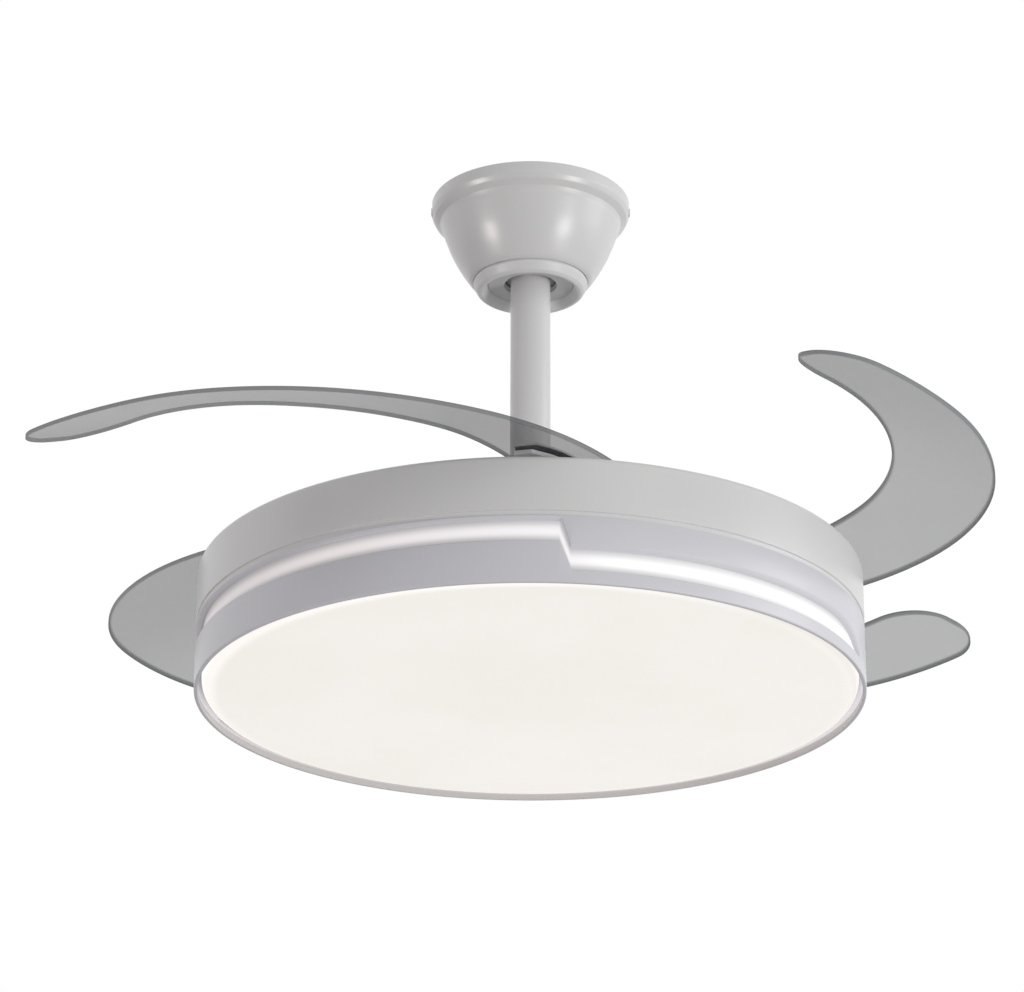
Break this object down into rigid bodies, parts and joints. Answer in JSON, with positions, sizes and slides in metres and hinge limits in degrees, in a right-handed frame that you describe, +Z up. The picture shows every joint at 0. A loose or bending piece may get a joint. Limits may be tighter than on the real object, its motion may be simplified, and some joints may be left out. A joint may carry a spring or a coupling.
{
  "type": "retractable blade ceiling fan",
  "caption": "Ceiling fan with curved folding blades above a round drum lamp with a stepped light slot, hung on a short downrod under a bowl-shaped canopy.",
  "frame": {"origin": "centre of the hanger bracket's top face, in the plane of the ceiling", "axes": "+Z up along the fan's axis, -Y toward the step of the lamp's side slot, +X to the right seen from there"},
  "size_m": [0.7138, 0.7138, 0.41],
  "materials": {
    "white_paint": "semi-gloss white powder coat",
    "ring_paint": "semi-gloss white paint, slightly cool",
    "white_plastic": "satin white moulded plastic",
    "blade_acrylic": "translucent grey acrylic sheet",
    "opal_acrylic": "opal diffusing acrylic, lit",
    "steel": "zinc-plated steel",
    "cast_metal": "die-cast, tumbled",
    "nylon": "natural nylon",
    "copper": "laminated core with enamelled copper windings",
    "dark_plastic": "dark moulded plastic",
    "board": "white solder mask on aluminium"
  },
  "bodies": {
    "ceiling_fixture": {"hanger_bracket": "steel", "canopy": "white_paint", "canopy_trim": "white_plastic", "canopy_screw_left": "white_paint", "canopy_screw_right": "white_paint", "remote_receiver": "white_plastic", "terminal_block": "nylon"},
    "pendant": {"hanger_ball": "nylon", "ball_pin": "steel", "downrod": "white_paint", "shaft_coupling": "cast_metal", "clevis_pin": "steel", "clevis_clip": "steel", "coupling_cover": "white_plastic", "stator_shaft": "steel", "stator_core": "copper", "lower_bearing": "steel", "upper_bearing": "steel", "shaft_collar": "steel", "lock_washer": "steel", "shaft_nut": "steel", "drum_housing": "white_paint", "side_ring": "ring_paint", "diffuser": "opal_acrylic", "led_board": "board", "led_driver": "dark_plastic", "standoff_1": "nylon", "standoff_2": "nylon", "standoff_3": "nylon", "standoff_4": "nylon"},
    "rotor": {"motor_base": "cast_metal", "motor_cap": "white_paint", "magnet_ring": "dark_plastic", "carrier_tray": "white_paint", "carrier_cover": "white_plastic", "pivot_pin_1": "steel", "pivot_pin_2": "steel", "pivot_pin_3": "steel", "pivot_pin_4": "steel", "return_spring_1": "steel", "return_spring_2": "steel", "return_spring_3": "steel", "return_spring_4": "steel"},
    "timing": {"timing_gear": "nylon"},
    "folding_blade_1": {"blade_arm_1": "cast_metal", "blade_1": "blade_acrylic", "blade_clamp_1": "steel"},
    "folding_blade_2": {"blade_arm_2": "cast_metal", "blade_2": "blade_acrylic", "blade_clamp_2": "steel"},
    "folding_blade_3": {"blade_arm_3": "cast_metal", "blade_3": "blade_acrylic", "blade_clamp_3": "steel"},
    "folding_blade_4": {"blade_arm_4": "cast_metal", "blade_4": "blade_acrylic", "blade_clamp_4": "steel"}
  },
  "joints": [
    {"name": "ball_swing", "type": "hinge", "parent": "ceiling_fixture", "child": "pendant", "pos_m": [0, 0, -0.042], "axis": [1, 0, 0], "range_deg": [-5, 5]},
    {"name": "rotor_spin", "type": "hinge", "parent": "pendant", "child": "rotor", "pos_m": [0, 0, -0.29], "axis": [0, 0, 1], "continuous": true},
    {"name": "blade_1_fold", "type": "hinge", "parent": "rotor", "child": "folding_blade_1", "pos_m": [0.12517, -0.03121, -0.295], "axis": [0, 0, -1], "range_deg": [0, 86], "stiffness_Nm_per_rad": 0.06, "springref_deg": 86},
    {"name": "blade_2_fold", "type": "hinge", "parent": "rotor", "child": "folding_blade_2", "pos_m": [0.03121, 0.12517, -0.295], "axis": [0, 0, -1], "range_deg": [0, 86]},
    {"name": "blade_3_fold", "type": "hinge", "parent": "rotor", "child": "folding_blade_3", "pos_m": [-0.12517, 0.03121, -0.295], "axis": [0, 0, -1], "range_deg": [0, 86]},
    {"name": "blade_4_fold", "type": "hinge", "parent": "rotor", "child": "folding_blade_4", "pos_m": [-0.03121, -0.12517, -0.295], "axis": [0, 0, -1], "range_deg": [0, 86]},
    {"name": "timing_turn", "type": "hinge", "parent": "rotor", "child": "timing", "pos_m": [0, 0, -0.298], "axis": [0, 0, 1], "range_deg": [-0.2, 37.6]}
  ],
  "couplings": [
    {"joint": "blade_2_fold", "follows": "blade_1_fold", "ratio": 1},
    {"joint": "blade_3_fold", "follows": "blade_1_fold", "ratio": 1},
    {"joint": "blade_4_fold", "follows": "blade_1_fold", "ratio": 1},
    {"joint": "timing_turn", "follows": "blade_1_fold", "ratio": 0.43333}
  ]
}
